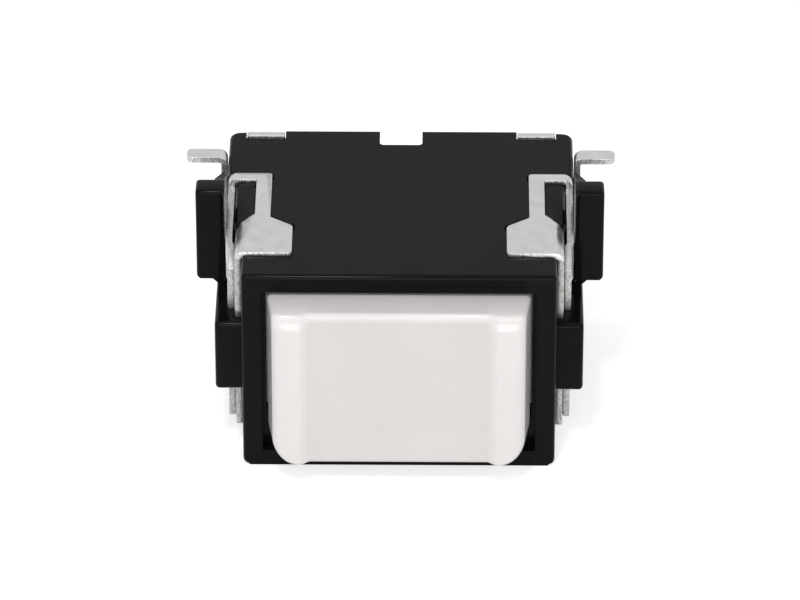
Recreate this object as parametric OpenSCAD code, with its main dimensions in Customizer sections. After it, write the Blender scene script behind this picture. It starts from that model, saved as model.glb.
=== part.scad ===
// Right-angle surface-mount pushbutton switch with a wide sprung button.
// X runs to the right seen from the front, Y from the button to the rear, Z up.
// The origin is the centre of the moulded body's underside.
// Depths are counted from the front face of the bezel, heights from the underside.

/* [Body] */
// Width of the bezel round the button
bezel_w = 7; // [6.8:0.05:7.6]
// Height of the moulded body
body_h = 5; // [4.9:0.05:5.6]
// Depth of the moulded body
body_depth = 6.3; // [6.1:0.05:7.2]
// Width of the wide rear block
rear_w = 7.84; // [7.7:0.02:8]
// Depth of the wide rear block
rear_block = 1.94; // [1.8:0.02:2.1]
// Rounding of the bezel's front and top edges
edge_r = 0.1; // [0.04:0.02:0.16]
// Rounding of the bezel's lower side edges
foot_r = 0.16; // [0.06:0.02:0.24]
// Rounding of the rear corners, seen from above
rear_corner_r = 0.25; // [0.1:0.05:0.4]
// Width of the notch in the rear top edge
notch_w = 0.97; // [0.6:0.01:1.4]
// Length of the notch
notch_len = 0.59; // [0.3:0.01:0.7]
// Rounding of the notch's inner corners
notch_r = 0.09; // [0.03:0.01:0.15]

/* [Button opening] */
// Wall beside the opening
side_wall = 0.445; // [0.4:0.005:0.5]
// Wall above the opening
top_wall = 0.43; // [0.36:0.01:0.5]
// Wall below the opening
bottom_wall = 0.41; // [0.3:0.01:0.5]
// Depth of the wide mouth in front of the button's guide
mouth_depth = 0.32; // [0.28:0.02:0.4]
// Gap round the button in its guide
guide_gap = 0.04; // [0.02:0.01:0.06]
// Depth of the lip that stops the button
lip_depth = 0.7; // [0.5:0.05:0.8]
// How much wider the chamber is than the opening, on each side
chamber_step = 0.17; // [0.14:0.01:0.2]

/* [Rails and ears] */
// Depth of the rail's front face
rail_front = 0.58; // [0.4:0.02:0.62]
// Height of the rail's underside
rail_low = 1.64; // [1.3:0.02:1.9]
// Drop from the clip's arm to the top of the rail
rail_drop = 0.45; // [0.35:0.01:0.6]
// Plastic outside the clip's legs
rail_wall = 0.26; // [0.2:0.01:0.4]
// Rounding of the rail's lower edge
rail_r = 0.11; // [0.04:0.01:0.2]
// Depth of the ear's front face
ear_front = 2.46; // [2.4:0.02:2.6]
// Length of the ear, front to back
ear_len = 0.57; // [0.4:0.01:0.7]
// How far the ear stands out beyond the rail
ear_reach = 0.46; // [0.2:0.02:0.6]
// How far the ear stands above the body
ear_rise = 0.7; // [0.3:0.05:0.9]
// Rounding of the ear's corners
ear_r = 0.09; // [0.03:0.01:0.15]
// Length of the web behind the ear's root
web_len = 0.36; // [0.2:0.02:0.5]
// Width of the web behind the ear's root
web_w = 0.23; // [0.1:0.01:0.3]
// Length of the small web in front of the ear's root
front_web_len = 0.24; // [0.1:0.02:0.26]
// Width of the small web in front of the ear's root
front_web_w = 0.1; // [0.05:0.01:0.15]

/* [Sheet metal] */
// Thickness of the sheet
sheet = 0.15; // [0.12:0.01:0.18]
// Inside radius of a bend
bend_r = 0.05; // [0.03:0.01:0.08]
// How far the soldering faces stand above the body
proud = 0.08; // [0.04:0.01:0.12]
// Side clearance between sheet metal and its neighbour
sheet_gap = 0.02; // [0.01:0.005:0.03]
// Gap round the metal in its pocket
pocket_gap = 0.04; // [0.02:0.01:0.08]
// Extra gap beside the bell's inboard shoulder
shoulder_gap = 0.1; // [0:0.02:0.16]

/* [Side clips] */
// Depth of the bell's front edge
bell_front = 0.86; // [0.8:0.02:1]
// Length of the bell's straight sides
bell_len = 1.17; // [0.9:0.01:1.2]
// Width of the bell, with the bent edge
bell_w = 1.28; // [1.1:0.02:1.5]
// Length of the bell's inboard shoulder
inner_shoulder = 0.37; // [0.2:0.01:0.5]
// Length of the bell's outboard shoulder
outer_shoulder = 0.5; // [0.3:0.01:0.6]
// Width of the stem between bell and bridge
stem_w = 0.35; // [0.2:0.01:0.45]
// Distance of the stem from the bent edge
stem_inset = 0.42; // [0.36:0.01:0.5]
// Rounding of the bell's inboard corners
bell_r = 0.07; // [0.03:0.01:0.12]
// Width of the bridge between stem and arm
bridge_w = 0.27; // [0.18:0.01:0.35]
// Gap between the bridge and the rear block
bridge_gap = 0.06; // [0.03:0.01:0.1]
// Height of the arm
arm_h = 1.03; // [0.8:0.01:1.2]
// Depth of the step where the arm leaves the outer leg
arm_front = 1.76; // [1.6:0.02:1.9]
// Outward step from the outer leg to the arm
joggle = 0.05; // [0.02:0.01:0.08]
// Depth of the outer leg's front edge
leg_front = 1.22; // [1.1:0.02:1.4]
// Width of the outer leg
leg_w = 0.9; // [0.7:0.02:0.92]
// Length of the slope at the top of the outer leg
slope_len = 0.82; // [0.6:0.02:1]
// Height of the slope at the top of the outer leg
slope_h = 0.45; // [0.3:0.01:0.6]
// Height of the leg ends above the underside
leg_end = 0.5; // [0.3:0.02:0.8]
// Rounding of the leg ends
leg_r = 0.12; // [0.04:0.01:0.2]

/* [Button] */
// Gap beside the button in the opening
cap_side_gap = 0.13; // [0.08:0.01:0.16]
// Gap above the button
cap_top_gap = 0.08; // [0.05:0.01:0.12]
// Gap below the button
cap_bottom_gap = 0.17; // [0.05:0.01:0.25]
// How far the button's ridges stand out of the bezel
cap_reach = 0.95; // [0.7:0.01:1.2]
// Narrowing of each side from the bezel to the front
cap_draft = 0.145; // [0.05:0.005:0.2]
// Depth of the front panel below the ridges
panel_recess = 0.15; // [0.08:0.01:0.2]
// Radius of the ridges, seen from above
ridge_r = 0.55; // [0.48:0.01:0.65]
// Distance of a ridge's crest from the button's front edge
ridge_inset = 0.42; // [0.3:0.01:0.45]
// Radius of the hollow between a ridge and the panel
ridge_blend = 0.12; // [0.05:0.01:0.2]
// Rounding of the button's lower corners, seen from the front
cap_foot_r = 0.65; // [0.3:0.01:0.8]
// Rounding of the button's upper corners, seen from the front
cap_head_r = 0.12; // [0.05:0.01:0.2]
// Rounding of the upper and lower front edges
cap_edge_r = 0.17; // [0.08:0.01:0.25]
// Thickness of the button's front
cap_front_wall = 0.7; // [0.5:0.05:0.9]
// Thickness of the button's skirt
skirt_wall = 0.5; // [0.35:0.05:0.65]
// Gap between the skirt and the rear base
skirt_gap = 0.7; // [0.4:0.05:1.2]
// Length of the retaining lips on the skirt
catch_len = 0.4; // [0.25:0.05:0.6]
// Gap beside a retaining lip
catch_gap = 0.05; // [0.03:0.01:0.07]
// Gap between the lips and their stop at rest
stop_gap = 0.02; // [0.01:0.005:0.04]
// Radius of the pusher behind the button
pusher_r = 0.8; // [0.6:0.05:1]
// Radius of the pusher's tip
tip_r = 0.5; // [0.3:0.05:0.55]
// Length of the pusher's tip
tip_len = 0.35; // [0.2:0.05:0.5]
// Gap between the pusher's tip and the dome at rest
tip_gap = 0.04; // [0.02:0.01:0.06]

/* [Base and contacts] */
// Depth of the rear base
base_len = 3; // [2.8:0.05:3.1]
// Gap between the base and the housing
base_gap = 0.02; // [0.01:0.005:0.04]
// Radius of the spring dome
dome_r = 1.7; // [1.4:0.05:1.75]
// Height of the spring dome
dome_h = 0.3; // [0.26:0.01:0.36]
// Thickness of the spring dome
dome_t = 0.06; // [0.04:0.01:0.08]
// Gap round the dome in its well
dome_gap = 0.08; // [0.04:0.01:0.1]
// Depth of the well beyond the dome's height
well_spare = 0.05; // [0.02:0.01:0.1]
// Width of a contact pad
pad_w = 0.8; // [0.6:0.05:1]
// Height of a contact pad
pad_h = 0.8; // [0.6:0.05:1]
// Width of a side lead
lead_w = 0.4; // [0.3:0.01:0.5]
// Distance of a side lead's centre from the rear face
lead_back = 1.12; // [0.9:0.02:1.3]
// How far a side lead stands out from the rear block
lead_reach = 0.95; // [0.6:0.05:1.2]
// Rounding of a side lead's tip
lead_r = 0.14; // [0.06:0.01:0.18]
// Width of a rear tab
tab_w = 0.86; // [0.6:0.02:1]
// Distance of a rear tab's centre from the side of the base
tab_inset = 0.115; // [0.06:0.005:0.2]
// Length of a rear tab on the top face
tab_len = 0.34; // [0.28:0.01:0.45]
// Rounding of a rear tab's corners
tab_r = 0.06; // [0.02:0.01:0.1]

/* [Hidden] */
$fn = 48;

black = [0.1, 0.1, 0.105];
white = [0.87, 0.855, 0.85];
tin = [0.77, 0.76, 0.75];
steel = [0.72, 0.72, 0.7];

// Room by which a cutting shape runs past the face it opens
past = 1;
// Overlap that joins two solids of one piece
weld = 0.1;

front_y = -body_depth / 2;
mid_z = body_h / 2;
metal_top = body_h + proud;
metal_low = metal_top - sheet;
bend_out = bend_r + sheet;
bend_top = metal_top - bend_out;

// Layers beside the body, from the bezel outwards
inner_leg_x = bezel_w / 2 + sheet_gap;
outer_leg_x = inner_leg_x + sheet + sheet_gap;
arm_x = outer_leg_x + joggle;
waist_w = 2 * (arm_x - sheet_gap);
leg_out = outer_leg_x + sheet + sheet_gap;
rail_x = leg_out + rail_wall;
ear_x = arm_x + sheet + 2 * sheet_gap;
ear_out = rail_x + ear_reach;

// Depths of the body's steps
rear_from = body_depth - rear_block;
bell_rear = bell_front + bell_len;
waist_from = max(bell_rear, leg_front + leg_w) + pocket_gap;
bridge_rear = rear_from - bridge_gap;
bridge_front = bridge_rear - bridge_w;
ear_rear = ear_front + ear_len;
rail_rear = ear_rear + web_len;
arm_low = bend_top - arm_h;
rail_top = arm_low - rail_drop;

// Plan of the bell and stem
bell_out = inner_leg_x + sheet;
bell_in = bell_out - bell_w;
stem_out = bell_out - stem_inset;
stem_in = stem_out - stem_w;

// Button
opening_x = bezel_w / 2 - side_wall;
opening_low = bottom_wall;
opening_high = body_h - top_wall;
chamber_x = opening_x + chamber_step;
cap_x = opening_x - cap_side_gap;
cap_low = opening_low + cap_bottom_gap;
cap_high = opening_high - cap_top_gap;
cap_front_x = cap_x - cap_draft;
ridge_x = cap_front_x - ridge_inset;
panel_front = panel_recess - cap_reach;
// The ridge's circle and the hollow's touch on the line between their centres
ridge_centre = ridge_r - cap_reach;
blend_span = ridge_r + ridge_blend;
blend_drop = ridge_centre - panel_front + ridge_blend;
blend_run = sqrt(blend_span * blend_span - blend_drop * blend_drop);
blend_x = ridge_x - blend_run;
catch_front = lip_depth + stop_gap;
catch_x = chamber_x - catch_gap;

// Base, dome and contacts
base_front = body_depth - base_len;
base_x = chamber_x - base_gap;
skirt_end = base_front - skirt_gap;
base_low = opening_low + base_gap;
base_high = opening_high - base_gap;
well_floor = base_front + dome_h + well_spare;
dome_top = well_floor - dome_h;
dome_curve = (dome_r * dome_r + dome_h * dome_h) / (2 * dome_h);
tip_end = dome_top - tip_gap;
strip_low = mid_z - sheet / 2;
strip_high = mid_z + sheet / 2;
lead_front = body_depth - lead_back - lead_w / 2;
lead_rear = lead_front + lead_w;
riser_x = rear_w / 2 + sheet_gap;
lead_tip = rear_w / 2 + lead_reach;
tab_x = base_x - tab_inset;
tab_in = tab_x - tab_w / 2;
tab_out = tab_x + tab_w / 2;
tab_riser = body_depth - sheet_gap - sheet;
tab_front = body_depth - tab_len;

// Plan outline (x, depth) raised from one height to another
module rise(z0, z1) {
    translate([0, front_y, z0]) linear_extrude(z1 - z0) children();
}

// Front outline (x, height) carried from one depth to another
module run(d0, d1) {
    translate([0, front_y + d1, 0]) rotate([90, 0, 0]) linear_extrude(d1 - d0) children();
}

// Side outline (depth, height) carried from one x to another
module cross(x0, x1) {
    translate([x0, front_y, 0]) rotate([90, 0, 90]) linear_extrude(x1 - x0) children();
}

// What a round corner takes off a square one
module corner_waste(r) {
    if (r > 0) difference() {
        translate([-r, -r]) square(2 * r);
        translate([r, r]) circle(r);
    }
}

// Rectangle between two corners, with its own radius at each corner, anticlockwise from the low left
module panel(low, high, r = [0, 0, 0, 0]) {
    difference() {
        translate(low) square(high - low);
        translate(low) corner_waste(r[0]);
        translate([high[0], low[1]]) rotate(90) corner_waste(r[1]);
        translate(high) rotate(180) corner_waste(r[2]);
        translate([low[0], high[1]]) rotate(270) corner_waste(r[3]);
    }
}

// Section of a right-angle bend: its two sheets leave the origin's corner towards -x and -y
module bend() {
    translate([-bend_out, -bend_out]) intersection() {
        square(bend_out);
        difference() {
            circle(bend_out);
            circle(bend_r);
        }
    }
}

module both_sides() {
    children();
    mirror([1, 0, 0]) children();
}

// One stretch of the body, with rounded upper edges
module body_bar(w, d0, d1, low_r = 0) {
    run(d0, d1) panel([-w / 2, 0], [w / 2, body_h], [low_r, low_r, edge_r, edge_r]);
}

module body_block() {
    intersection() {
        body_bar(bezel_w, 0, rear_from + weld, foot_r);
        rise(0, body_h) panel([-bezel_w / 2, 0], [bezel_w / 2, body_depth], [edge_r, edge_r, 0, 0]);
        cross(-bezel_w / 2, bezel_w / 2) panel([0, 0], [body_depth, body_h], [0, 0, 0, edge_r]);
    }
    body_bar(waist_w, waist_from, rear_from + weld);
    intersection() {
        body_bar(rear_w, rear_from, body_depth);
        rise(0, body_h) panel([-rear_w / 2, rear_from], [rear_w / 2, body_depth],
            [0, 0, rear_corner_r, rear_corner_r]);
    }
}

// Loop that the clip's two legs pass down through
module rail() {
    intersection() {
        rise(rail_low, rail_top) difference() {
            panel([bezel_w / 2 - weld, rail_front], [rail_x, rail_rear]);
            panel([bezel_w / 2, bell_front - sheet_gap], [outer_leg_x, waist_from]);
            panel([outer_leg_x - weld, leg_front - sheet_gap], [leg_out, waist_from]);
        }
        run(0, rail_rear) panel([0, rail_low], [rail_x, rail_top], [0, rail_r, 0, 0]);
    }
}

// Upright outside the clip's arm, joined to the body below the arm
module ear() {
    intersection() {
        rise(rail_top - weld, body_h + ear_rise) union() {
            panel([ear_x, ear_front], [ear_out, ear_rear], [0, ear_r, ear_r, 0]);
            polygon([[ear_x, ear_rear - weld], [ear_x + web_w, ear_rear - weld], [ear_x + web_w, ear_rear],
                [ear_x, ear_rear + web_len]]);
            polygon([[ear_x, ear_front - front_web_len], [ear_x + front_web_w, ear_front],
                [ear_x + front_web_w, ear_front + weld], [ear_x, ear_front + weld]]);
        }
        run(0, body_depth) union() {
            panel([0, rail_top], [ear_out, body_h + ear_rise], [0, ear_r, ear_r, 0]);
            panel([0, rail_top - weld], [rail_x, rail_top]);
            translate([rail_x, rail_top]) rotate(270) corner_fillet(ear_r);
        }
    }
    rise(rail_low, arm_low - sheet_gap) panel([waist_w / 2 - weld, ear_front], [rail_x, rail_rear]);
}

// Concave rounding in the corner between two outlines
module corner_fillet(r) {
    difference() {
        square(r);
        translate([r, r]) circle(r);
    }
}

// Plan of the bell, stem and bridge, grown by a gap for its pocket
module clip_plan(gap = 0, inner_gap = 0) {
    panel([bell_in - gap, bell_front - gap], [bell_out + gap, bell_rear + gap],
        gap > 0 ? [0, 0, 0, 0] : [bell_r, 0, 0, 0]);
    polygon([[bell_in - gap, bell_rear + gap], [bell_in - gap, bell_rear + gap + inner_gap],
        [stem_in - gap, bell_rear + inner_shoulder + gap + inner_gap],
        [stem_in - gap, bell_rear + gap]]);
    translate([stem_in - gap, bell_rear]) square([stem_w + 2 * gap, bridge_rear + gap - bell_rear]);
    outer_shoulder_plan(gap);
    translate([stem_in - gap, bridge_front - gap])
        square([arm_x + sheet + gap - stem_in + gap, bridge_w + 2 * gap]);
}

// Convex outboard shoulder of the bell: a quarter circle drawn out along the depth into a slope and a round
module outer_shoulder_plan(gap) {
    round_r = (bell_out - stem_out) / 2;
    polygon([[stem_out - weld, bell_rear], [stem_out - weld, bell_rear + outer_shoulder + gap],
        [stem_out + gap, bell_rear + outer_shoulder + gap], [bell_out - round_r + gap, bell_rear + round_r + gap],
        [bell_out + gap, bell_rear + gap], [bell_out + gap, bell_rear]]);
}

// Section of a sheet that lies on the top face and turns down outside the body, its outer face at x_out
module folded_section(x_in, x_out, z_end) {
    translate([x_in, metal_low]) square([x_out - bend_out - x_in, sheet]);
    translate([x_out, metal_top]) bend();
    translate([x_out - sheet, z_end]) square([sheet, bend_top - z_end]);
}

// Side outline of the outer leg and the arm, sloped at the front
module leg_and_arm_outline(d0, d1, z0) {
    difference() {
        translate([d0, z0]) square([d1 - d0, bend_top - z0]);
        polygon([[leg_front - past, bend_top - slope_h - past * slope_h / slope_len],
            [leg_front + slope_len + past, bend_top + past * slope_h / slope_len],
            [leg_front - past, bend_top + past]]);
    }
}

// One stamped clip, on the right-hand side
module side_clip() {
    color(tin) {
        intersection() {
            run(bell_front, bridge_front + weld) folded_section(bell_in, bell_out, leg_end);
            rise(leg_end, metal_top) clip_plan();
            cross(0, rear_w) union() {
                panel([bell_front, leg_end], [bell_rear, metal_low], [leg_r, leg_r, 0, 0]);
                panel([bell_front, bend_top], [body_depth, metal_top]);
            }
        }
        run(bridge_front, bridge_rear) folded_section(stem_in, arm_x + sheet, arm_low);
        cross(arm_x, arm_x + sheet) leg_and_arm_outline(arm_front, bridge_rear, arm_low);
        cross(outer_leg_x, outer_leg_x + sheet) intersection() {
            leg_and_arm_outline(leg_front, leg_front + leg_w, leg_end);
            panel([leg_front, leg_end], [leg_front + leg_w, body_h], [leg_r, leg_r, 0, 0]);
        }
    }
}

// What the housing gives up for one clip on its top face and upper edges
module clip_pocket() {
    rise(metal_low, metal_top + past) clip_plan(pocket_gap, shoulder_gap);
    run(bell_front - pocket_gap, bell_rear + outer_shoulder)
        panel([inner_leg_x - bend_r, bend_top], [inner_leg_x + past, metal_low + weld]);
    run(bridge_front - pocket_gap, bridge_rear + pocket_gap)
        panel([arm_x - bend_r, bend_top], [arm_x + past, metal_low + weld]);
}

// Mouth and guide of the button, and the chamber that its skirt and the base fill
module chamber() {
    run(-past, mouth_depth) panel([-opening_x, opening_low], [opening_x, opening_high]);
    run(0, lip_depth + weld) panel([-cap_x - guide_gap, cap_low - guide_gap], [cap_x + guide_gap, cap_high + guide_gap],
        [cap_foot_r, cap_foot_r, cap_head_r, cap_head_r]);
    run(lip_depth, body_depth + past) panel([-chamber_x, opening_low], [chamber_x, opening_high]);
}

// Slot for a side lead, and groove and pocket for a rear tab
module terminal_room() {
    run(lead_front - sheet_gap, body_depth + past)
        panel([chamber_x - weld, strip_low - sheet_gap], [rear_w, strip_high + sheet_gap]);
    run(tab_riser - sheet_gap, body_depth + past)
        panel([tab_in - pocket_gap, strip_low - sheet_gap], [tab_out + pocket_gap, body_h + past]);
    run(tab_front - pocket_gap, body_depth + past)
        panel([tab_in - pocket_gap, metal_low], [tab_out + pocket_gap, body_h + past]);
}

module housing() {
    color(black) difference() {
        union() {
            body_block();
            both_sides() rail();
            both_sides() ear();
        }
        chamber();
        rise(opening_high - past, body_h + past) panel([-notch_w / 2, body_depth - notch_len],
            [notch_w / 2, body_depth + past], [notch_r, notch_r, 0, 0]);
        both_sides() clip_pocket();
        both_sides() terminal_room();
    }
}

module rear_base() {
    color(black) difference() {
        run(base_front, body_depth) panel([-base_x, base_low], [base_x, base_high]);
        run(base_front - past, well_floor) translate([0, mid_z]) circle(dome_r + dome_gap);
        both_sides() run(tab_riser - sheet_gap, body_depth + past)
            panel([tab_in - pocket_gap, strip_low - sheet_gap], [tab_out + past, body_h]);
        centre_contact();
        mirror([1, 0, 0]) rim_contact();
    }
}

// Concave blend from the panel into a ridge, seen from above
module ridge_hollow() {
    touch = [ridge_x - blend_run * ridge_r / blend_span, ridge_centre - blend_drop * ridge_r / blend_span];
    difference() {
        polygon([[blend_x, panel_front], touch, [touch[0], panel_front + weld], [blend_x, panel_front + weld]]);
        translate([blend_x, panel_front - ridge_blend]) circle(ridge_blend);
    }
}

module both_flanks() {
    children();
    mirror([1, 0]) children();
}

// Plan of the button: drafted sides, a flat panel and two rounded ridges
module button_plan() {
    intersection() {
        polygon([[-cap_front_x, -cap_reach], [cap_front_x, -cap_reach], [cap_x, 0], [cap_x, skirt_end],
            [-cap_x, skirt_end], [-cap_x, 0]]);
        union() {
            panel([-ridge_x, panel_front], [ridge_x, skirt_end]);
            both_flanks() translate([ridge_x, ridge_centre]) circle(ridge_r);
            both_flanks() ridge_hollow();
            panel([-cap_x, ridge_centre], [cap_x, skirt_end]);
        }
    }
}

module button() {
    color(white) {
        difference() {
            intersection() {
                rise(cap_low, cap_high) button_plan();
                run(-cap_reach, skirt_end) panel([-cap_x, cap_low], [cap_x, cap_high],
                    [cap_foot_r, cap_foot_r, cap_head_r, cap_head_r]);
                cross(-cap_x, cap_x) panel([-cap_reach, cap_low], [skirt_end, cap_high],
                    [cap_edge_r, 0, 0, cap_edge_r]);
            }
            run(panel_front + cap_front_wall, skirt_end + past)
                panel([-cap_x + skirt_wall, cap_low + skirt_wall], [cap_x - skirt_wall, cap_high - skirt_wall]);
        }
        both_sides() run(catch_front, catch_front + catch_len)
            panel([cap_x - weld, cap_low + cap_foot_r], [catch_x, cap_high - cap_head_r]);
        run(panel_front + cap_front_wall - weld, tip_end - tip_len) translate([0, mid_z]) circle(pusher_r);
        run(tip_end - tip_len - weld, tip_end) translate([0, mid_z]) circle(tip_r);
    }
}

// Thin spherical cap with its rim on the floor of the well
module snap_dome() {
    color(steel) translate([0, front_y + well_floor, mid_z]) rotate([90, 0, 0]) rotate_extrude()
        intersection() {
            translate([0, dome_h - dome_curve]) difference() {
                circle(dome_curve);
                circle(dome_curve - dome_t);
            }
            square([dome_r, dome_h]);
        }
}

// Section of a side lead: out through the wall, up its outside and out again as the soldering foot
module lead_section() {
    riser_out = riser_x + sheet;
    translate([riser_out - bend_out, strip_low]) mirror([1, 0]) square([riser_out - bend_out - base_x + weld, sheet]);
    translate([riser_out, strip_low]) mirror([0, 1]) bend();
    translate([riser_x, strip_low + bend_out]) square([sheet, bend_top - strip_low - bend_out]);
    translate([riser_x, metal_top]) mirror([1, 0]) bend();
    translate([riser_x + bend_out, metal_low]) square([lead_tip - riser_x - bend_out, sheet]);
}

// Section of a rear tab: out through the rear, up in its groove and forward over the top edge
module tab_section() {
    riser_out = tab_riser + sheet;
    translate([lead_front, strip_low]) square([riser_out - bend_out - lead_front, sheet]);
    translate([riser_out, strip_low]) mirror([0, 1]) bend();
    translate([tab_riser, strip_low + bend_out]) square([sheet, bend_top - strip_low - bend_out]);
    translate([riser_out, metal_top]) bend();
    translate([tab_front, metal_low]) square([riser_out - bend_out - tab_front, sheet]);
}

// One contact terminal, on the right-hand side, with its pad starting at pad_from
module terminal(pad_from) {
    intersection() {
        run(lead_front, lead_rear) lead_section();
        rise(0, metal_top) panel([0, lead_front], [lead_tip, lead_rear], [0, lead_r, lead_r, 0]);
    }
    intersection() {
        cross(tab_in, tab_out) tab_section();
        rise(0, metal_top) union() {
            panel([tab_in, tab_front], [tab_out, body_depth], [tab_r, tab_r, 0, 0]);
            panel([tab_in, 0], [base_x - base_gap, body_depth - weld]);
        }
    }
    rise(strip_low, strip_high) union() {
        panel([pad_from, well_floor], [pad_from + pad_w, lead_rear]);
        panel([pad_from, lead_front], [base_x, lead_rear]);
    }
    run(well_floor, well_floor + sheet)
        panel([pad_from, mid_z - pad_h / 2], [pad_from + pad_w, mid_z + pad_h / 2]);
}

// Terminal whose pad lies under the middle of the dome
module centre_contact() {
    terminal(-pad_w / 2);
}

// Terminal whose pad carries the dome's rim
module rim_contact() {
    terminal(dome_r - pad_w / 2);
}

module left_terminal() {
    color(tin) mirror([1, 0, 0]) rim_contact();
}

module right_terminal() {
    color(tin) centre_contact();
}

module left_side_clip() {
    mirror([1, 0, 0]) side_clip();
}

module right_side_clip() {
    side_clip();
}

housing();
rear_base();
button();
snap_dome();
left_terminal();
right_terminal();
left_side_clip();
right_side_clip();
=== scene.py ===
"""Looks of a right-angle pushbutton switch: moulded shell, white button, stamped clips, stage and light."""

import math
from contextlib import contextmanager

import bmesh
import bpy
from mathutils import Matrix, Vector


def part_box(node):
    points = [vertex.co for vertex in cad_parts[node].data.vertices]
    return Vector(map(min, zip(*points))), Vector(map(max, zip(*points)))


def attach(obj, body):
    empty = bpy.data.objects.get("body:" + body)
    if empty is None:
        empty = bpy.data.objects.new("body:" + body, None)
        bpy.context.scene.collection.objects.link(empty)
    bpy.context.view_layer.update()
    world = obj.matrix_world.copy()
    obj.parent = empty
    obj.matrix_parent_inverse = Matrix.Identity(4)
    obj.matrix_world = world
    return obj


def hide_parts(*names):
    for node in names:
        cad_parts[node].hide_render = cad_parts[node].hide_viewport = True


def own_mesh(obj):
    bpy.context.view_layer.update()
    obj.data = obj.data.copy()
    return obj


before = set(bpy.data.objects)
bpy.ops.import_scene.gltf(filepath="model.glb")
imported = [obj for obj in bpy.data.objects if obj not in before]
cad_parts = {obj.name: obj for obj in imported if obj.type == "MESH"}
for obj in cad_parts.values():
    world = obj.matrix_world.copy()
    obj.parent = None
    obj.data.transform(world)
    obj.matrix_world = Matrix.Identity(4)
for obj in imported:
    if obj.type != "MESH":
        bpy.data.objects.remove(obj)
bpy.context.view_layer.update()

# Places are in millimetres: x across, d the depth behind the bezel's face, z the height above the underside
MM = 0.001
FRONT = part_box("housing")[0].y
X, D, Z = 0, 1, 2
NEAR = 0.004
EXACT = 1e-8
SEAM = 0.005
CRISP = 0.35
BEYOND = 1.0

# Moulded body: half widths, depths of its steps and heights
BODY_H = 5.0
BODY_DEPTH = 6.3
BEZEL_X = 3.5
WAIST_X = 3.72
WAIST_FROM = 2.16
REAR_X = 3.92
REAR_FROM = 4.36
EDGE_R = 0.1
FOOT_R = 0.16
REAR_CORNER_R = 0.25
NOTCH_X = 0.485
NOTCH_FROM = 5.71
NOTCH_R = 0.09

# Opening for the button, the lip inside it and the chamber behind
OPENING_X = 3.055
OPENING_LOW = 0.41
OPENING_HIGH = 4.57
MOUTH_DEPTH = 0.32
GUIDE_GAP = 0.04
LIP_DEPTH = 0.7
CHAMBER_X = 3.225

# Sheet metal: upper and lower face on the body's top, and the bends
SHEET = 0.15
METAL_TOP = 5.08
METAL_LOW = METAL_TOP - SHEET
BEND_R = 0.05
BEND_OUT = BEND_R + SHEET
BEND_Z = METAL_TOP - BEND_OUT
BURR = 0.014

# Side clip: the bell, its stem and bridge, the arm and the two legs
BELL_IN = 2.39
BELL_OUT = 3.67
BELL_FRONT = 0.86
BELL_REAR = 2.03
BELL_R = 0.07
CORNER_R = 0.08
INNER_SHOULDER = 0.37
OUTER_SHOULDER = 0.5
STEM_IN = 2.9
STEM_OUT = 3.25
BRIDGE_FRONT = 4.03
BRIDGE_REAR = 4.3
ARM_X = 3.74
ARM_LOW = 3.85
ARM_STEP = 1.76
STEP_RUN = 0.08
JOGGLE = 0.05
LEG_FRONT = 1.22
LEG_REAR = 2.12
SLOPE_LEN = 0.82
SLOPE_H = 0.45
LEG_END = 0.5
LEG_R = 0.12
POCKET_GAP = 0.04
SHOULDER_GAP = 0.1

# Rail that loops round the legs, and the upright ear on it
RAIL_X = 4.12
RAIL_FRONT = 0.58
RAIL_REAR = 3.39
RAIL_LOW = 1.64
RAIL_TOP = 3.4
RAIL_R = 0.1
LEG_OUT = 3.86
OUTER_LEG_X = 3.69
SLOT_FRONT = 0.84
OUTER_SLOT_FRONT = 1.2
EAR_X = 3.93
EAR_OUT = 4.58
EAR_FRONT = 2.46
EAR_REAR = 3.03
EAR_TOP = 5.7
EAR_ROOT = 3.83
EAR_R = 0.09
WEB_LEN = 0.36
WEB_W = 0.23
FRONT_WEB_LEN = 0.24
FRONT_WEB_W = 0.1
FILLET = 0.1

# Button: outline, ridges, skirt, retaining lips and pusher
CAP_X = 2.925
CAP_FRONT_X = 2.8
CAP_LOW = 0.58
CAP_HIGH = 4.49
CAP_FOOT_R = 0.65
CAP_HEAD_R = 0.12
CAP_EDGE_R = 0.16
PANEL_D = -0.8
RIDGE_RISE = 0.15
RIDGE_FOOT_X = 1.97
RIDGE_CREST_X = 2.42
RIDGE_STEP = 0.5
RIDGE_END = 0.3
RIDGE_TOP = 0.5
RIDGE_FALL = 0.09
SKIRT_END = 2.6
SKIRT_WALL = 0.5
HOLLOW_FROM = -0.1
CATCH = ((2.8, 3.175), (0.72, 1.12), (1.23, 4.37))
PUSHER_R = 0.8
TIP_R = 0.5
TIP_LEN = 0.35
TIP_END = 3.31

# Terminals' room in the shell
LEAD_FRONT = 4.98
STRIP_LOW = 2.425
STRIP_HIGH = 2.575
TAB_IN = 2.66
TAB_OUT = 3.52
TAB_RISER = 6.13
TAB_FRONT = 5.96
SHEET_GAP = 0.02

# Spring dome in the base
WELL_FLOOR = 3.65
DOME_R = 1.7
DOME_H = 0.3
DOME_T = 0.06
MID_Z = BODY_H / 2


def at(x, d, z):
    """The point at x, depth d and height z, in metres."""
    return Vector((x * MM, FRONT + d * MM, z * MM))


def where(point):
    """x, depth and height of a point, in millimetres."""
    return point.x / MM, (point.y - FRONT) / MM, point.z / MM


def choose(piece):
    """Makes the piece the only selected and the active object."""
    bpy.ops.object.select_all(action="DESELECT")
    piece.select_set(True)
    bpy.context.view_layer.objects.active = piece


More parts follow.
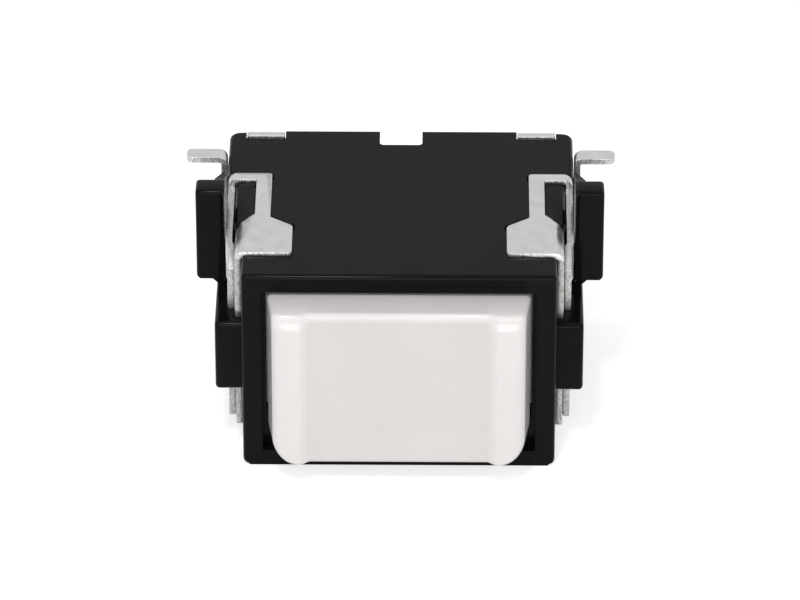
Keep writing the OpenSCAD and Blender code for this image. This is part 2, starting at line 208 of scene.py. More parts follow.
@contextmanager
def picked(piece, kind, test):
    """Edit mode on the piece, with those vertices, edges or faces selected that pass the test."""
    choose(piece)
    bpy.ops.object.mode_set(mode="EDIT")
    bpy.ops.mesh.select_mode(type=kind)
    bpy.ops.mesh.select_all(action="DESELECT")
    mesh = bmesh.from_edit_mesh(piece.data)
    for part in {"VERT": mesh.verts, "EDGE": mesh.edges, "FACE": mesh.faces}[kind]:
        if test(part):
            part.select_set(True)
    mesh.select_flush_mode()
    bmesh.update_edit_mesh(piece.data)
    yield mesh
    bpy.ops.object.mode_set(mode="OBJECT")


def everything(part):
    return True


def on(x=None, d=None, z=None, start=-99.0, end=99.0):
    """Test for edges and faces that lie on planes of x, d or z, between two depths."""
    def test(part):
        spots = [where(corner.co) for corner in part.verts]
        planes = [(axis, value) for axis, value in ((X, x), (D, d), (Z, z)) if value is not None]
        flat = all(abs(spot[axis] - value) < NEAR for spot in spots for axis, value in planes)
        return flat and all(start - NEAR < spot[D] < end + NEAR for spot in spots)
    return test


def sharp(edge):
    """Test for edges where two faces meet at a clear angle."""
    return edge.is_manifold and edge.calc_face_angle() > 0.6


def block(name, x, d, z):
    """Box over its ranges of x, depth and height."""
    low = at(x[0], d[0], z[0])
    high = at(x[1], d[1], z[1])
    bpy.ops.object.select_all(action="DESELECT")
    bpy.ops.mesh.primitive_cube_add(size=1)
    piece = bpy.context.object
    piece.name = piece.data.name = name
    piece.scale = high - low
    piece.location = (low + high) / 2
    bpy.ops.object.transform_apply()
    return piece


def rod(name, radius, d0, d1):
    """Round bar along the depth, in the middle of the body."""
    bpy.ops.object.select_all(action="DESELECT")
    bpy.ops.mesh.primitive_cylinder_add(vertices=48, radius=radius * MM, depth=(d1 - d0) * MM,
                                        location=at(0, (d0 + d1) / 2, MID_Z), rotation=(math.pi / 2, 0, 0))
    piece = bpy.context.object
    piece.name = piece.data.name = name
    bpy.ops.object.transform_apply()
    return piece


def plate(name, outline, z0, z1):
    """Plate with an outline of (x, d) points between two heights."""
    bpy.ops.object.select_all(action="DESELECT")
    bpy.ops.mesh.primitive_circle_add(vertices=len(outline), fill_type="NGON")
    piece = bpy.context.object
    piece.name = piece.data.name = name
    for corner, (x, d) in zip(piece.data.vertices, outline):
        corner.co = at(x, d, z0)
    draw_out(piece, everything, z=z1 - z0)
    face_out(piece)
    return piece


def face_out(piece):
    """Turns all faces outwards."""
    with picked(piece, "FACE", everything):
        bpy.ops.mesh.normals_make_consistent(inside=False)


def draw_out(piece, test, x=0.0, d=0.0, z=0.0):
    """Extrudes faces along a vector."""
    with picked(piece, "FACE", test):
        bpy.ops.mesh.extrude_region_move(TRANSFORM_OT_translate={"value": (x * MM, d * MM, z * MM)})


def reshape(piece, move):
    """Moves every vertex to move(x, d, z)."""
    for corner in piece.data.vertices:
        corner.co = at(*move(*where(corner.co)))


def split(piece, point, normal, clear=False):
    """Cuts the piece along a plane, and takes away what lies in front of the normal where clear is set."""
    with picked(piece, "FACE", everything):
        bpy.ops.mesh.bisect(plane_co=at(*point), plane_no=normal, threshold=EXACT, use_fill=clear, clear_outer=clear)


def round_edges(piece, radius, test, segments=5):
    """Rounds edges."""
    with picked(piece, "EDGE", test):
        bpy.ops.mesh.bevel(offset=radius * MM, segments=segments, affect="EDGES", clamp_overlap=True)


def fold(piece, test, x, z, turn, steps=8):
    """Carries a sheet's end face round a bend about a line along the depth, and leaves the new end selected."""
    with picked(piece, "FACE", test):
        bpy.ops.mesh.spin(steps=steps, angle=turn, center=at(x, 0, z), axis=(0, -1, 0))


def merge(piece, distance=0.0005):
    """Joins doubled vertices and melts flat faces into one."""
    with picked(piece, "FACE", everything):
        bpy.ops.mesh.select_all(action="SELECT")
        bpy.ops.mesh.remove_doubles(threshold=distance * MM)
        bpy.ops.mesh.dissolve_limited(angle_limit=math.radians(0.5))
        bpy.ops.mesh.select_all(action="SELECT")
        bpy.ops.mesh.fill_holes(sides=8)


def apply(piece, kind, **settings):
    """Adds a modifier and applies it."""
    choose(piece)
    modifier = piece.modifiers.new(kind.lower(), kind)
    for name, value in settings.items():
        setattr(modifier, name, value)
    bpy.ops.object.modifier_apply(modifier=modifier.name)


def join(piece, other, how):
    """Boolean of two pieces, which uses the second one up."""
    apply(piece, "BOOLEAN", object=other, operation=how, solver="EXACT")
    bpy.data.objects.remove(other)


def mirrored(piece, name):
    """Copy of a piece on the other side of the middle plane."""
    choose(piece)
    bpy.ops.object.duplicate()
    other = bpy.context.object
    other.name = other.data.name = name
    reshape(other, lambda x, d, z: (-x, d, z))
    with picked(other, "FACE", everything):
        bpy.ops.mesh.flip_normals()
    return other


def smooth(piece, angle=35):
    """Smooth shading with flat faces kept flat."""
    choose(piece)
    bpy.ops.object.shade_smooth_by_angle(angle=math.radians(angle))
    apply(piece, "WEIGHTED_NORMAL", keep_sharp=True, weight=80)


def moulded_body():
    """Narrow bezel, waist and wide rear block in one, with rounded edges."""
    body = block("housing_shell", (-BEZEL_X, BEZEL_X), (0, BODY_DEPTH), (0, BODY_H))
    split(body, (0, WAIST_FROM, 0), (0, 1, 0))
    split(body, (0, REAR_FROM, 0), (0, 1, 0))
    for side in (-1, 1):
        draw_out(body, on(x=side * BEZEL_X, start=WAIST_FROM), x=side * (WAIST_X - BEZEL_X))
        draw_out(body, on(x=side * WAIST_X, start=REAR_FROM), x=side * (REAR_X - WAIST_X))
    merge(body)
    for side in (-1, 1):
        round_edges(body, REAR_CORNER_R, on(x=side * REAR_X, d=BODY_DEPTH), 8)
        round_edges(body, FOOT_R, on(x=side * BEZEL_X, z=0, end=WAIST_FROM), 6)
    upper, front, rear = on(z=BODY_H), on(d=0), on(d=BODY_DEPTH)
    rounded = lambda edge: upper(edge) and not rear(edge) or front(edge)
    round_edges(body, EDGE_R, lambda edge: sharp(edge) and rounded(edge), 5)
    flat, reach = BEZEL_X - FOOT_R + NEAR, EDGE_R + NEAR
    crisp = lambda x, d, z: abs(x) < flat and d < reach and z < reach
    reshape(body, lambda x, d, z: (x, d * CRISP, z * CRISP) if crisp(x, d, z) else (x, d, z))
    return body


def rail_and_ear():
    """Right-hand rail with the slot for the clip's legs, and the ear that stands on its rear end."""
    root_front = EAR_FRONT + 0.03
    rail = block("rail", (BEZEL_X - 0.1, RAIL_X), (RAIL_FRONT, RAIL_REAR), (RAIL_LOW, RAIL_TOP))
    split(rail, (0, root_front, 0), (0, 1, 0))
    draw_out(rail, on(z=RAIL_TOP, start=root_front), z=EAR_ROOT - RAIL_TOP)
    merge(rail)
    front, outer = on(d=RAIL_FRONT), on(x=RAIL_X)
    round_edges(rail, RAIL_R, lambda edge: sharp(edge) and (front(edge) or outer(edge)), 5)
    depth = WAIST_FROM
    join(rail, block("slot", (BEZEL_X - 0.05, OUTER_LEG_X), (SLOT_FRONT, depth), (1, 4)), "DIFFERENCE")
    join(rail, block("slot", (OUTER_LEG_X - 0.05, LEG_OUT), (OUTER_SLOT_FRONT, depth - 0.001), (1, 4)), "DIFFERENCE")

    ear = block("ear", (EAR_X, EAR_OUT), (EAR_FRONT, EAR_REAR), (RAIL_TOP + SEAM, EAR_TOP))
    outer, upper, inner = on(x=EAR_OUT), on(z=EAR_TOP), on(x=EAR_X)
    round_edges(ear, EAR_R, lambda edge: outer(edge) or upper(edge) and not inner(edge), 5)
    join(rail, ear, "UNION")
    webs = [
        (EAR_X + SEAM, EAR_FRONT - FRONT_WEB_LEN),
        (EAR_X + FRONT_WEB_W, EAR_FRONT + 2 * SEAM),
        (EAR_X + WEB_W, EAR_REAR - 2 * SEAM),
        (EAR_X + SEAM, EAR_REAR + WEB_LEN - 2 * SEAM),
    ]
    join(rail, plate("webs", webs, RAIL_TOP + 3 * SEAM, EAR_TOP - 2 * SEAM), "UNION")
    fillet = block("fillet", (EAR_X + 4 * SEAM, RAIL_X + FILLET), (EAR_FRONT + 3 * SEAM, EAR_REAR - 3 * SEAM),
                   (RAIL_TOP - 1.3 * FILLET, RAIL_TOP + FILLET))
    split(fillet, (RAIL_X, EAR_FRONT, RAIL_TOP - FILLET), (1, 0, -1), clear=True)
    join(rail, fillet, "UNION")
    return rail


def clip_pocket(side):
    """Cutter for the shallow pocket that a clip lies in."""
    gap = POCKET_GAP
    shoulder = BELL_REAR + gap
    outline = [
        (BELL_IN - gap, BELL_FRONT - gap),
        (BELL_OUT + gap, BELL_FRONT - gap),
        (BELL_OUT + gap, shoulder),
        ((BELL_OUT + STEM_OUT) / 2 + gap, shoulder + (BELL_OUT - STEM_OUT) / 2),
        (STEM_OUT + gap, shoulder + OUTER_SHOULDER),
        (STEM_OUT + gap, BRIDGE_FRONT - gap),
        (ARM_X + SHEET + gap, BRIDGE_FRONT - gap),
        (ARM_X + SHEET + gap, BRIDGE_REAR + gap),
        (STEM_IN - gap, BRIDGE_REAR + gap),
        (STEM_IN - gap, shoulder + INNER_SHOULDER + SHOULDER_GAP),
        (BELL_IN - gap, shoulder + SHOULDER_GAP),
    ]
    return plate("pocket", [(side * x, d) for x, d in outline], METAL_LOW, METAL_TOP + 0.2)


def span(side, low, high):
    """Range of x on the right-hand or left-hand side."""
    return (low, high) if side > 0 else (-high, -low)


def housing_shell():
    """Black shell, moulded in one with its rails and ears, with room for button, base, clips and terminals."""
    shell = moulded_body()
    rail = rail_and_ear()
    join(shell, mirrored(rail, "left_rail"), "UNION")
    join(shell, rail, "UNION")
    mouth = block("mouth", (-OPENING_X, OPENING_X), (-BEYOND, MOUTH_DEPTH), (OPENING_LOW, OPENING_HIGH))
    join(shell, mouth, "DIFFERENCE")
    guide_x = CAP_X + GUIDE_GAP
    guide = block("guide", (-guide_x, guide_x), (0.1, LIP_DEPTH + 0.1), (CAP_LOW - GUIDE_GAP, CAP_HIGH + GUIDE_GAP))
    for x in (-guide_x, guide_x):
        round_edges(guide, CAP_FOOT_R, on(x=x, z=CAP_LOW - GUIDE_GAP), 10)
    join(shell, guide, "DIFFERENCE")
    high = BODY_DEPTH + BEYOND
    chamber = block("chamber", (-CHAMBER_X, CHAMBER_X), (LIP_DEPTH, high), (OPENING_LOW - 0.002, OPENING_HIGH + 0.002))
    join(shell, chamber, "DIFFERENCE")
    notch = block("notch", (-NOTCH_X, NOTCH_X), (NOTCH_FROM, high), (OPENING_HIGH - 0.2, BODY_H + BEYOND))
    for x in (-NOTCH_X, NOTCH_X):
        round_edges(notch, NOTCH_R, on(x=x, d=NOTCH_FROM), 5)
    join(shell, notch, "DIFFERENCE")
    for side in (-1, 1):
        join(shell, clip_pocket(side), "DIFFERENCE")
        for x, d0, d1 in ((BELL_OUT - BEND_OUT, BELL_FRONT, BELL_REAR + OUTER_SHOULDER),
                          (ARM_X + SHEET - BEND_OUT, BRIDGE_FRONT, BRIDGE_REAR)):
            relief = block("relief", span(side, x, x + 0.24), (d0 - POCKET_GAP, d1 + POCKET_GAP), (BEND_Z, METAL_LOW + 0.05))
            join(shell, relief, "DIFFERENCE")
        tab = span(side, TAB_IN - SHEET_GAP, TAB_OUT + SHEET_GAP)
        strip = (STRIP_LOW - SHEET_GAP, STRIP_HIGH + SHEET_GAP)
        join(shell, block("lead_slot", span(side, CHAMBER_X - 0.1, REAR_X + BEYOND), (LEAD_FRONT - SHEET_GAP, high), strip), "DIFFERENCE")
        join(shell, block("tab_groove", tab, (TAB_RISER - SHEET_GAP, high), (STRIP_LOW - SHEET_GAP, BODY_H + BEYOND)), "DIFFERENCE")
        join(shell, block("tab_pocket", tab, (TAB_FRONT - POCKET_GAP, high), (METAL_LOW, BODY_H + BEYOND)), "DIFFERENCE")
    merge(shell)
    smooth(shell)
    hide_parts("housing")
    return shell


def side_clip():
    """Right-hand clip, one sheet: bell, stem and bridge on top, an inner leg, and an arm with an outer leg."""
    flat_x = BELL_OUT - BEND_OUT
    waist = (STEM_OUT + flat_x) / 2
    outline = [
        (BELL_IN, BELL_FRONT + BELL_R),
        (BELL_IN + 0.3 * BELL_R, BELL_FRONT + 0.3 * BELL_R),
        (BELL_IN + BELL_R, BELL_FRONT),
        (flat_x, BELL_FRONT),
        (flat_x, BELL_REAR + BEND_OUT),
        (waist, BELL_REAR + 0.37),
        (STEM_OUT, BELL_REAR + OUTER_SHOULDER),
        (STEM_OUT, BRIDGE_FRONT),
        (ARM_X + SHEET - BEND_OUT, BRIDGE_FRONT),
        (ARM_X + SHEET - BEND_OUT, BRIDGE_REAR),
        (STEM_IN, BRIDGE_REAR),
        (STEM_IN, BELL_REAR + INNER_SHOULDER),
        (BELL_IN, BELL_REAR),
    ]
    clip = plate("right_clip", outline, METAL_LOW, METAL_TOP)
    for x, d in ((STEM_IN, BRIDGE_REAR), (BELL_IN, BELL_REAR)):
        round_edges(clip, CORNER_R, on(x=x, d=d), 4)

    fold(clip, on(x=flat_x), flat_x, BEND_Z, math.pi / 2)
    draw_out(clip, on(z=BEND_Z), z=LEG_END - BEND_Z)
    reshape(clip, convex_shoulder)
    fold(clip, on(x=ARM_X + SHEET - BEND_OUT), ARM_X + SHEET - BEND_OUT, BEND_Z, math.pi / 2)
    draw_out(clip, on(z=BEND_Z, start=BRIDGE_FRONT), z=ARM_LOW - BEND_Z)

    arm_front = lambda face: on(d=BRIDGE_FRONT)(face) and all(
        where(corner.co)[X] > ARM_X - NEAR and where(corner.co)[Z] < BEND_Z + NEAR for corner in face.verts)
    draw_out(clip, arm_front, d=LEG_REAR - BRIDGE_FRONT)
    for start, end in ((LEG_REAR, LEG_FRONT + SLOPE_LEN), (LEG_FRONT + SLOPE_LEN, ARM_STEP + STEP_RUN),
                       (ARM_STEP + STEP_RUN, ARM_STEP), (ARM_STEP, LEG_FRONT)):
        draw_out(clip, lambda face: on(d=start)(face) and where(face.calc_center_median())[X] > ARM_X - NEAR, d=end - start)
    reshape(clip, slope_and_step)
    leg_root = lambda face: abs(face.normal.z) > 0.9 and on(z=ARM_LOW, start=LEG_FRONT, end=LEG_REAR)(face)
    draw_out(clip, leg_root, z=-STEP_RUN)
    reshape(clip, lambda x, d, z: (x - JOGGLE if z < ARM_LOW - NEAR and d > ARM_STEP + NEAR and x > ARM_X - NEAR else x, d, z))
    draw_out(clip, lambda face: abs(face.normal.z) > 0.9 and on(z=ARM_LOW - STEP_RUN)(face), z=LEG_END - ARM_LOW + STEP_RUN)
    merge(clip)
    face_out(clip)
    for d in (BELL_FRONT, BELL_REAR, LEG_FRONT, LEG_REAR):
        round_edges(clip, LEG_R, on(d=d, z=LEG_END), 5)
    apply(clip, "BEVEL", width=BURR * MM, segments=2, limit_method="ANGLE", angle_limit=math.radians(50))
    smooth(clip)
    return clip


def convex_shoulder(x, d, z):
    """Draws the bend's rear edge forward as it turns down, so that the shoulder ends in a round."""
    if x > BELL_OUT - BEND_OUT + EXACT and abs(d - BELL_REAR - BEND_OUT) < NEAR:
        turn = math.atan2(x - BELL_OUT + BEND_OUT, max(z - BEND_Z, 0))
        d -= BEND_OUT * math.sin(turn)
    return x, d, z


def slope_and_step(x, d, z):
    """Slopes the arm's front down to the outer leg, and steps the leg in from the arm."""
    if x < ARM_X - NEAR or d > LEG_FRONT + SLOPE_LEN + NEAR:
        return x, d, z
    if z > BEND_Z - NEAR:
        z -= SLOPE_H * (LEG_FRONT + SLOPE_LEN - d) / SLOPE_LEN
    if d < ARM_STEP + NEAR:
        x -= JOGGLE
    return x, d, z


def side_clips():
    right = side_clip()
    left = mirrored(right, "left_clip")
    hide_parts("right_side_clip")
    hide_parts("left_side_clip")
    return left, right


def ridge(x):
    """How far the button's front stands before its panel at x: a soft step up to the crest, a slow fall outside."""
    x = abs(x)
    if x > RIDGE_CREST_X:
        fall = (x - RIDGE_CREST_X) / (CAP_FRONT_X - RIDGE_CREST_X)
        return RIDGE_RISE - RIDGE_FALL * fall ** 1.8
    rise = min(max((x - RIDGE_FOOT_X) / (RIDGE_CREST_X - RIDGE_FOOT_X), 0), 1)
    step = min(rise / RIDGE_STEP, 1)
    return RIDGE_RISE * (0.7 * (3 * step ** 2 - 2 * step ** 3) + 0.3 * math.sin(rise * math.pi / 2))


def ridge_end(z):
    """Share of a ridge's rise at a height: the ridges run out softly below the button's upper edge."""
    share = min(max((CAP_HIGH - CAP_EDGE_R * 0.6 - z) / RIDGE_END, 0), 1)
    return RIDGE_TOP + (1 - RIDGE_TOP) * (3 * share ** 2 - 2 * share ** 3)


def button_cap():
    """White button: drafted cap with a flat panel between two ridges, hollow skirt, lips and pusher."""
    cap = block("button_cap", (-CAP_X, CAP_X), (PANEL_D, 0), (CAP_LOW, CAP_HIGH))
    for x in (-CAP_X, CAP_X):
        round_edges(cap, CAP_FOOT_R, on(x=x, z=CAP_LOW), 12)
        round_edges(cap, CAP_HEAD_R, on(x=x, z=CAP_HIGH), 5)
    reshape(cap, lambda x, d, z: (x * CAP_FRONT_X / CAP_X if d < PANEL_D + NEAR else x, d, z))
    draw_out(cap, on(d=0), d=SKIRT_END)
    with picked(cap, "FACE", on(d=SKIRT_END)):
        bpy.ops.mesh.inset(thickness=SKIRT_WALL * MM)
        bpy.ops.mesh.extrude_region_move(TRANSFORM_OT_translate={"value": (0, (HOLLOW_FROM - SKIRT_END) * MM, 0)})
    round_edges(cap, CAP_EDGE_R, on(d=PANEL_D), 7)
    for side in (-1, 1):
        join(cap, block("lip", span(side, *CATCH[X]), CATCH[D], CATCH[Z]), "UNION")
    pusher = rod("pusher", PUSHER_R, HOLLOW_FROM - 0.1, TIP_END - TIP_LEN)
    join(pusher, rod("tip", TIP_R, TIP_END - TIP_LEN - 0.1, TIP_END), "UNION")
    join(cap, pusher, "UNION")
    steps = 14
    rows = [RIDGE_FOOT_X + (RIDGE_CREST_X - RIDGE_FOOT_X) * step / steps for step in range(steps + 1)]
    rows += [RIDGE_CREST_X + (CAP_FRONT_X - 0.02 - RIDGE_CREST_X) * step / steps for step in range(1, steps)]
    for x in rows:
        split(cap, (x, 0, 0), (1, 0, 0))
        split(cap, (-x, 0, 0), (1, 0, 0))
    for step in range(7):
        split(cap, (0, 0, CAP_HIGH - CAP_EDGE_R - RIDGE_END * (step + 0.5) / 7), (0, 0, 1))
    reach = PANEL_D + CAP_EDGE_R + NEAR
    reshape(cap, lambda x, d, z: (x, d - ridge(x) * ridge_end(z) if d < reach else d, z))
    smooth(cap, 40)
    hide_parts("button")
    return cap


def spring_dome():
    """Thin steel dome whose rim stands on the well's floor, under the pusher."""
    curve = (DOME_R ** 2 + DOME_H ** 2) / (2 * DOME_H)
    centre = at(0, WELL_FLOOR - DOME_H + curve, MID_Z)
    bpy.ops.object.select_all(action="DESELECT")
    bpy.ops.mesh.primitive_uv_sphere_add(segments=48, ring_count=120, radius=curve * MM, location=centre,
                                         rotation=(math.pi / 2, 0, 0))
    dome = bpy.context.object
    dome.name = dome.data.name = "dome"
    bpy.ops.object.transform_apply()
    with picked(dome, "FACE", everything):
        bpy.ops.mesh.bisect(plane_co=at(0, WELL_FLOOR + DOME_T, 0), plane_no=(0, 1, 0), threshold=EXACT,
                            clear_outer=True)
    apply(dome, "SOLIDIFY", thickness=DOME_T * MM, offset=-1)
    split(dome, (0, WELL_FLOOR, 0), (0, 1, 0), clear=True)
    smooth(dome)
    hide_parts("snap_dome")
    at(0, WELL_FLOOR, MID_Z)
    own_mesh(dome)
    return dome


class Wire:
    """An output of a material's nodes; arithmetic on it adds Math nodes."""

    def __init__(self, tree, socket):
        self.tree = tree
        self.socket = socket

    def node(self, kind, settings, inputs, output=0):
        """Adds a node with its settings and the values or wires of its sockets."""
        new = self.tree.nodes.new(kind)
        for name, value in settings.items():
            if name == "stops":
                fill_ramp(new.color_ramp, value)
            else:
                setattr(new, name, value)
        for name, value in inputs.items():
            if isinstance(value, Wire):
                self.tree.links.new(value.socket, new.inputs[name])
            else:
                new.inputs[name].default_value = value
        return Wire(self.tree, new.outputs[output])

    def maths(self, operation, first, second):
        return self.node("ShaderNodeMath", {"operation": operation}, {0: first, 1: second})

    def __add__(self, other):
        return self.maths("ADD", self, other)

    def __radd__(self, other):
        return self.maths("ADD", other, self)

    def __sub__(self, other):
        return self.maths("SUBTRACT", self, other)

    def __rsub__(self, other):
        return self.maths("SUBTRACT", other, self)

    def __mul__(self, other):
        return self.maths("MULTIPLY", self, other)

    def __rmul__(self, other):
        return self.maths("MULTIPLY", other, self)

    def noise(self, size, detail=2.0, rough=0.5):
        """Noise with features of about a size in millimetres."""
        return self.node("ShaderNodeTexNoise", {}, {"Vector": self, "Scale": 1 / (size * MM), "Detail": detail,
                                                   "Roughness": rough})

    def stretched(self, x, y, z):
        """These coordinates with the pattern on them drawn out along an axis."""
        return self.node("ShaderNodeMapping", {}, {"Vector": self, "Scale": (1 / x, 1 / y, 1 / z)})

    def range(self, low, high, new_low, new_high):
        """This value carried from one range to another, held at the ends."""
        return self.node("ShaderNodeMapRange", {}, {"Value": self, "From Min": low, "From Max": high,
                                                   "To Min": new_low, "To Max": new_high})

    def blend(self, low, high):
        """Colour between two, by this value."""
        return self.node("ShaderNodeMix", {"data_type": "RGBA"}, {0: self, 6: low, 7: high}, 2)

    def bump(self, height, strength):
        """Normal of a surface with this relief, its full height in millimetres."""
        return self.node("ShaderNodeBump", {}, {"Height": self, "Distance": height * MM, "Strength": strength})


def fill_ramp(ramp, stops):
    """Sets a ramp's stops from (place, colour) pairs."""
    while len(ramp.elements) > 1:
        ramp.elements.remove(ramp.elements[-1])
    ramp.elements[0].position, ramp.elements[0].color = stops[0]
    for place, colour in stops[1:]:
        ramp.elements.new(place).color = colour


def new_finish(name):
    """Material with an empty tree, and the wire of the object's own coordinates."""
    finish = bpy.data.materials.new(name)
    finish.use_nodes = True
    tree = finish.node_tree
    tree.nodes.clear()
    place = tree.nodes.new("ShaderNodeTexCoord")
    return finish, Wire(tree, place.outputs["Object"])


def surface(place, inputs):
    """Ends a tree in one principled surface."""
    end(place, place.node("ShaderNodeBsdfPrincipled", {}, inputs))


def end(place, shader):
    """Links a shader to the material's output."""
    output = place.tree.nodes.new("ShaderNodeOutputMaterial")
    place.tree.links.new(shader.socket, output.inputs["Surface"])


def grey(value, warm=0.0):
    """Linear grey, a little warmer or cooler."""
    return (value * (1 + warm), value, value * (1 - warm), 1)


def black_moulding():
    """Filled black nylon: spark-eroded grain, faint flow marks."""
    finish, place = new_finish("fine_grained_black_moulding")
    flow = place.stretched(1, 1.6, 1).noise(0.9, 3)
    grain = place.noise(0.045, 2)
    colour = flow.range(0.3, 0.7, 0, 1).blend(grey(0.0045, -0.03), grey(0.0065, -0.03))
    surface(place, {"Base Color": colour, "Roughness": grain.range(0.3, 0.7, 0.11, 0.16),
                    "Specular IOR Level": 0.065, "Normal": grain.bump(0.001, 0.25)})
    return finish


def white_moulding():
    """White button plastic: polished rim and ridges, a finely matt panel between them; the panel's colour is painted
    darker, painted shade for the light that the rim and ridges catch.
    """
    finish, place = new_finish("white_button_moulding")
    cloud = place.noise(1.4, 2)
    ripple = place.noise(0.25, 2)
    across = place.maths("ABSOLUTE", place.node("ShaderNodeSeparateXYZ", {}, {0: place}, "X"), 0)
    height = place.node("ShaderNodeSeparateXYZ", {}, {0: place}, "Z")
    depth = place.node("ShaderNodeSeparateXYZ", {}, {0: place}, "Y")
    panel = across.range(RIDGE_FOOT_X * MM, (RIDGE_FOOT_X + 0.1) * MM, 1, 0)
    panel = panel * height.range((CAP_HIGH - CAP_EDGE_R - 0.04) * MM, (CAP_HIGH - CAP_EDGE_R) * MM, 1, 0)
    panel = panel * depth.range(FRONT + (PANEL_D + 0.02) * MM, FRONT + (PANEL_D + 0.06) * MM, 1, 0)
    # Painted shade: the panel's colour (matt) is darker than the rim's and ridges' colour (rim), standing in for the
    # light the ridges catch; only the panel's higher roughness is a real finish.
    rim = cloud.range(0.3, 0.7, 0, 1).blend((0.8, 0.775, 0.765, 1), (0.83, 0.805, 0.795, 1))
    matt = cloud.range(0.3, 0.7, 0, 1).blend((0.7, 0.675, 0.665, 1), (0.73, 0.7, 0.69, 1))
    rough = ripple.range(0.3, 0.7, 0.14, 0.2) + panel * 0.2
    surface(place, {"Base Color": panel.blend(rim, matt), "Roughness": rough,
                    "Specular IOR Level": 0.45, "Normal": ripple.bump(0.001, 0.2)})
    return finish


def tin_plate():
    """Matt tin on stamped sheet: even faces with fine rolling marks, and torn, speckled cut edges; those below the
    bends are painted darker, painted shade.
    """
    finish, place = new_finish("matt_tin_plate")
    mottle = place.noise(0.3, 2, 0.5)
    rolling = place.stretched(1, 14, 1).noise(0.02, 2)
    tear = place.stretched(1, 1, 2.5).noise(0.035, 3, 0.65)
    turn = place.node("ShaderNodeNewGeometry", {}, {}, "Normal")
    across = place.maths("ABSOLUTE", place.node("ShaderNodeSeparateXYZ", {}, {0: place}, "X"), 0)
    height = place.node("ShaderNodeSeparateXYZ", {}, {0: place}, "Z")
    upright = height.range((BEND_Z + 0.005) * MM, (BEND_Z + 0.02) * MM, 1, 0)
    arm = across.range((ARM_X - 0.08) * MM, (ARM_X - 0.06) * MM, 0, 1)
    arm = arm * across.range((ARM_X + SHEET + 0.02) * MM, (ARM_X + SHEET + 0.03) * MM, 1, 0)
    ahead = place.node("ShaderNodeSeparateXYZ", {}, {0: turn}, "Y").range(-0.9, -0.75, 1, 0)
    above = place.node("ShaderNodeSeparateXYZ", {}, {0: turn}, "Z").range(0.75, 0.9, 0, 1) * arm * upright
    cut = place.maths("MAXIMUM", ahead, above)
    face = mottle.range(0.3, 0.7, 0, 1).blend(grey(0.53, 0.01), grey(0.6, 0.015))
    torn = tear.range(0.36, 0.56, 0, 1)
    # Painted shade: cut edges below the bends (upright) get darker greys than the cut edges on the top plate.
    edge = upright.blend(torn.blend(grey(0.3, 0.03), grey(0.7, 0.02)), torn.blend(grey(0.24, 0.03), grey(0.48, 0.02)))
    rough = mottle.range(0.3, 0.7, 0.27, 0.35) + rolling.range(0.3, 0.7, -0.05, 0.05)
    relief = rolling * 0.2 * (1 - cut) + tear * 1.4 * cut
    surface(place, {"Base Color": cut.blend(face, edge), "Metallic": 0.92, "Roughness": rough,
                    "Normal": relief.bump(0.003, 0.5)})
    return finish


def spring_steel():
    """Bright rolled spring steel with fine brushing."""
    finish, place = new_finish("brushed_spring_steel")
    brush = place.stretched(1, 1, 20).noise(0.02, 2)
    colour = brush.range(0.3, 0.7, 0, 1).blend(grey(0.5), grey(0.62))
    surface(place, {"Base Color": colour, "Metallic": 1.0, "Roughness": brush.range(0.3, 0.7, 0.22, 0.36)})
    return finish


def seen_directly(place):
    """1 for rays from the camera and for those in gloss and glass, else 0."""
    rays = [place.node("ShaderNodeLightPath", {}, {}, name)
            for name in ("Is Camera Ray", "Is Glossy Ray", "Is Transmission Ray")]
    return place.maths("MINIMUM", rays[0] + rays[1] + rays[2], 1.0)


def dress(piece, finish, body):
    """Gives a new piece its finish and the body that carries it."""
    piece.data.materials.clear()
    piece.data.materials.append(finish)
    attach(piece, body)


def dress_node(name, finish, radius):
    """Gives a solid of the frame its finish and slightly rounded edges."""
    node = bpy.data.objects[name]
    for slot in node.material_slots:
        slot.material = finish
    node.modifiers.new("weld", "WELD").merge_threshold = 0.0002 * MM
    flat = node.modifiers.new("flat", "DECIMATE")
    flat.decimate_type = "DISSOLVE"
    flat.angle_limit = math.radians(1)
    edge = node.modifiers.new("edge", "BEVEL")
    edge.width = radius * MM
    edge.segments = 2
    edge.limit_method = "ANGLE"
    edge.angle_limit = math.radians(50)
    node.modifiers.new("normals", "WEIGHTED_NORMAL").keep_sharp = True


def lamp(name, place, aim, size, radiance):
    """Soft light of a width and height in millimetres, turned to a point, with its brightness per area."""
    light = bpy.data.lights.new(name, "AREA")
    light.shape = "RECTANGLE"
    light.size = size[0] * MM
    light.size_y = size[1] * MM
    light.energy = radiance * math.pi * light.size * light.size_y
    holder = bpy.data.objects.new(name, light)
    bpy.context.scene.collection.objects.link(holder)
    holder.location = at(*place)
    holder.rotation_euler = (at(*aim) - at(*place)).to_track_quat("-Z", "Y").to_euler()


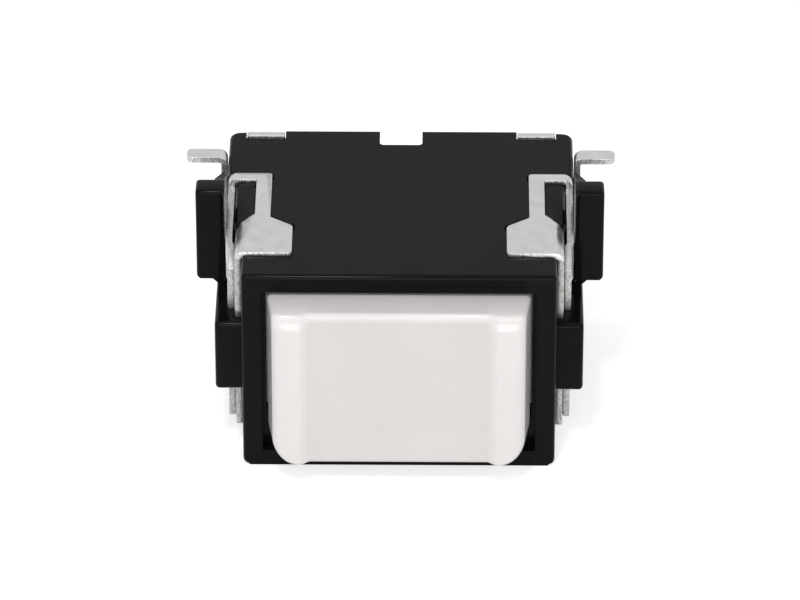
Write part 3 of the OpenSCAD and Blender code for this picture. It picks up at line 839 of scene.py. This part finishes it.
def studio():
    """White floor and surroundings, two soft lamps."""
    bpy.ops.object.select_all(action="DESELECT")
    bpy.ops.mesh.primitive_plane_add(size=1.5)
    floor = bpy.context.object
    floor.name = floor.data.name = "floor"
    finish, place = new_finish("pale_floor")
    matt = place.node("ShaderNodeBsdfDiffuse", {}, {"Color": grey(0.8)})
    glow = place.node("ShaderNodeEmission", {}, {"Strength": seen_directly(place) * 0.62})
    end(place, place.node("ShaderNodeAddShader", {}, {0: matt, 1: glow}))
    floor.data.materials.append(finish)

    world = bpy.data.worlds.new("white_room")
    world.use_nodes = True
    world.node_tree.nodes.clear()
    air = Wire(world.node_tree, world.node_tree.nodes.new("ShaderNodeTexCoord").outputs["Generated"])
    strength = seen_directly(air) * 0.5 + 0.5
    shade = air.node("ShaderNodeBackground", {}, {"Color": grey(1.0), "Strength": strength})
    output = world.node_tree.nodes.new("ShaderNodeOutputWorld")
    world.node_tree.links.new(shade.socket, output.inputs["Surface"])
    bpy.context.scene.world = world

    lamp("key", (-10, -42, 80), (0, 2, 2), (13, 13), 38.0)
    lamp("fill", (10, -100, 30), (0, 2, 2), (90, 70), 1.4)
    lamp("strip", (0, -140, 8), (0, 0, 3), (120, 12), 6.0)
    bpy.context.scene.view_settings.view_transform = "Standard"


def camera():
    """Long lens in front of the switch, looking down on it, set by one known point of the bezel."""
    rise = math.radians(32)
    turn = math.radians(0.5)
    right = Vector((math.cos(turn), math.sin(turn), 0))
    back = Vector((math.sin(turn) * math.cos(rise), -math.cos(turn) * math.cos(rise), math.sin(rise)))
    up = back.cross(right)
    lens = bpy.data.cameras.new("camera")
    lens.sensor_width = 36
    lens.lens = 292.5
    lens.clip_start = 0.005
    eye = bpy.data.objects.new("camera", lens)
    bpy.context.scene.collection.objects.link(eye)
    eye.location = at(0, 0, 0) + (right * 0.0248 + up * 3.7245 + back * 146.2) * MM
    eye.rotation_euler = back.to_track_quat("Z", "Y").to_euler()
    bpy.context.scene.camera = eye


camera()
studio()
black = black_moulding()
white = white_moulding()
tin = tin_plate()
dress(housing_shell(), black, "switch_body")
for clip in side_clips():
    dress(clip, tin, "switch_body")
dress(button_cap(), white, "button")
dress(spring_dome(), spring_steel(), "switch_body")
dress_node("rear_base", black, 0.03)
dress_node("left_terminal", tin, BURR)
dress_node("right_terminal", tin, BURR)
